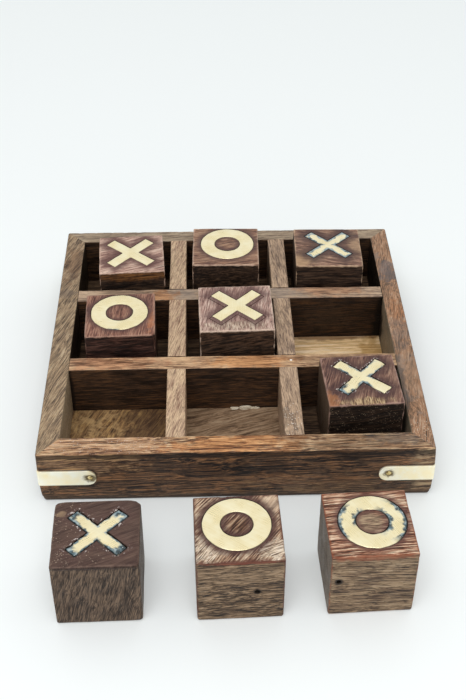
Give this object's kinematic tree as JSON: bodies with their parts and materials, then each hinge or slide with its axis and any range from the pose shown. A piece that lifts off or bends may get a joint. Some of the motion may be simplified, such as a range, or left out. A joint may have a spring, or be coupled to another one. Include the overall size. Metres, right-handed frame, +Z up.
{
  "type": "tic tac toe set",
  "caption": "Wooden tray divided into a square grid of cells, with brass corner straps and loose cubes marked with an inlaid brass cross or ring.",
  "frame": {"origin": "centre of the tray's underside, on the table", "axes": "+X to the right along the front rail, +Y from the front rail to the back rail, +Z up; the spare cubes stand on the table in front of the tray, towards -Y"},
  "size_m": [0.1516, 0.2095, 0.0343],
  "materials": {
    "rail_wood": "sanded and oiled hardwood with strong dark and tan grain, satin",
    "base_wood": "dark hardwood board, satin outside, duller in the cells",
    "divider_wood": "sanded hardwood, grey brown with tan grain, satin",
    "cube_wood_brown": "oiled hardwood, brown with tan worn edges, satin",
    "cube_wood_red": "oiled hardwood, reddish brown with fine dark grain, satin",
    "cube_wood_dark": "oiled hardwood, dark purple brown, satin",
    "strap_brass": "pale satin brass, brushed along its length",
    "pin_brass": "darkened brass",
    "inlay_brass": "pale satin brass, sanded flush, some with blue grey tarnish at the edges"
  },
  "bodies": {
    "tray": {"base_board": "base_wood", "front_rail": "rail_wood", "back_rail": "rail_wood", "left_rail": "rail_wood", "right_rail": "rail_wood", "left_long_divider": "divider_wood", "right_long_divider": "divider_wood", "front_cross_divider": "divider_wood", "back_cross_divider": "divider_wood", "front_left_strap": "strap_brass", "front_right_strap": "strap_brass", "back_left_strap": "strap_brass", "back_right_strap": "strap_brass", "front_left_strap_front_pin": "pin_brass", "front_right_strap_front_pin": "pin_brass", "back_left_strap_back_pin": "pin_brass", "back_right_strap_back_pin": "pin_brass", "front_left_strap_side_pin": "pin_brass", "front_right_strap_side_pin": "pin_brass", "back_left_strap_side_pin": "pin_brass", "back_right_strap_side_pin": "pin_brass"},
    "x_piece_1": {"x_cube_1": "cube_wood_brown", "x_inlay_1": "inlay_brass"},
    "o_piece_1": {"o_cube_1": "cube_wood_brown", "o_inlay_1": "inlay_brass"},
    "x_piece_2": {"x_cube_2": "cube_wood_brown", "x_inlay_2": "inlay_brass"},
    "o_piece_2": {"o_cube_2": "cube_wood_red", "o_inlay_2": "inlay_brass"},
    "x_piece_3": {"x_cube_3": "cube_wood_red", "x_inlay_3": "inlay_brass"},
    "x_piece_4": {"x_cube_4": "cube_wood_brown", "x_inlay_4": "inlay_brass"},
    "x_piece_5": {"x_cube_5": "cube_wood_dark", "x_inlay_5": "inlay_brass"},
    "o_piece_3": {"o_cube_3": "cube_wood_brown", "o_inlay_3": "inlay_brass"},
    "o_piece_4": {"o_cube_4": "cube_wood_red", "o_inlay_4": "inlay_brass"}
  },
  "joints": [
    {"name": "x_piece_1_lift", "type": "slide", "parent": "tray", "child": "x_piece_1", "axis": [0, 0, 1], "range_m": [0, 0.045]},
    {"name": "o_piece_1_lift", "type": "slide", "parent": "tray", "child": "o_piece_1", "axis": [0, 0, 1], "range_m": [0, 0.045]},
    {"name": "x_piece_2_lift", "type": "slide", "parent": "tray", "child": "x_piece_2", "axis": [0, 0, 1], "range_m": [0, 0.045]},
    {"name": "o_piece_2_lift", "type": "slide", "parent": "tray", "child": "o_piece_2", "axis": [0, 0, 1], "range_m": [0, 0.045]},
    {"name": "x_piece_3_lift", "type": "slide", "parent": "tray", "child": "x_piece_3", "axis": [0, 0, 1], "range_m": [0, 0.045]},
    {"name": "x_piece_4_lift", "type": "slide", "parent": "tray", "child": "x_piece_4", "axis": [0, 0, 1], "range_m": [0, 0.045]},
    {"name": "x_piece_5_lift", "type": "slide", "parent": "tray", "child": "x_piece_5", "axis": [0, 0, 1], "range_m": [0, 0.045]},
    {"name": "o_piece_3_lift", "type": "slide", "parent": "tray", "child": "o_piece_3", "axis": [0, 0, 1], "range_m": [0, 0.045]},
    {"name": "o_piece_4_lift", "type": "slide", "parent": "tray", "child": "o_piece_4", "axis": [0, 0, 1], "range_m": [0, 0.045]}
  ]
}
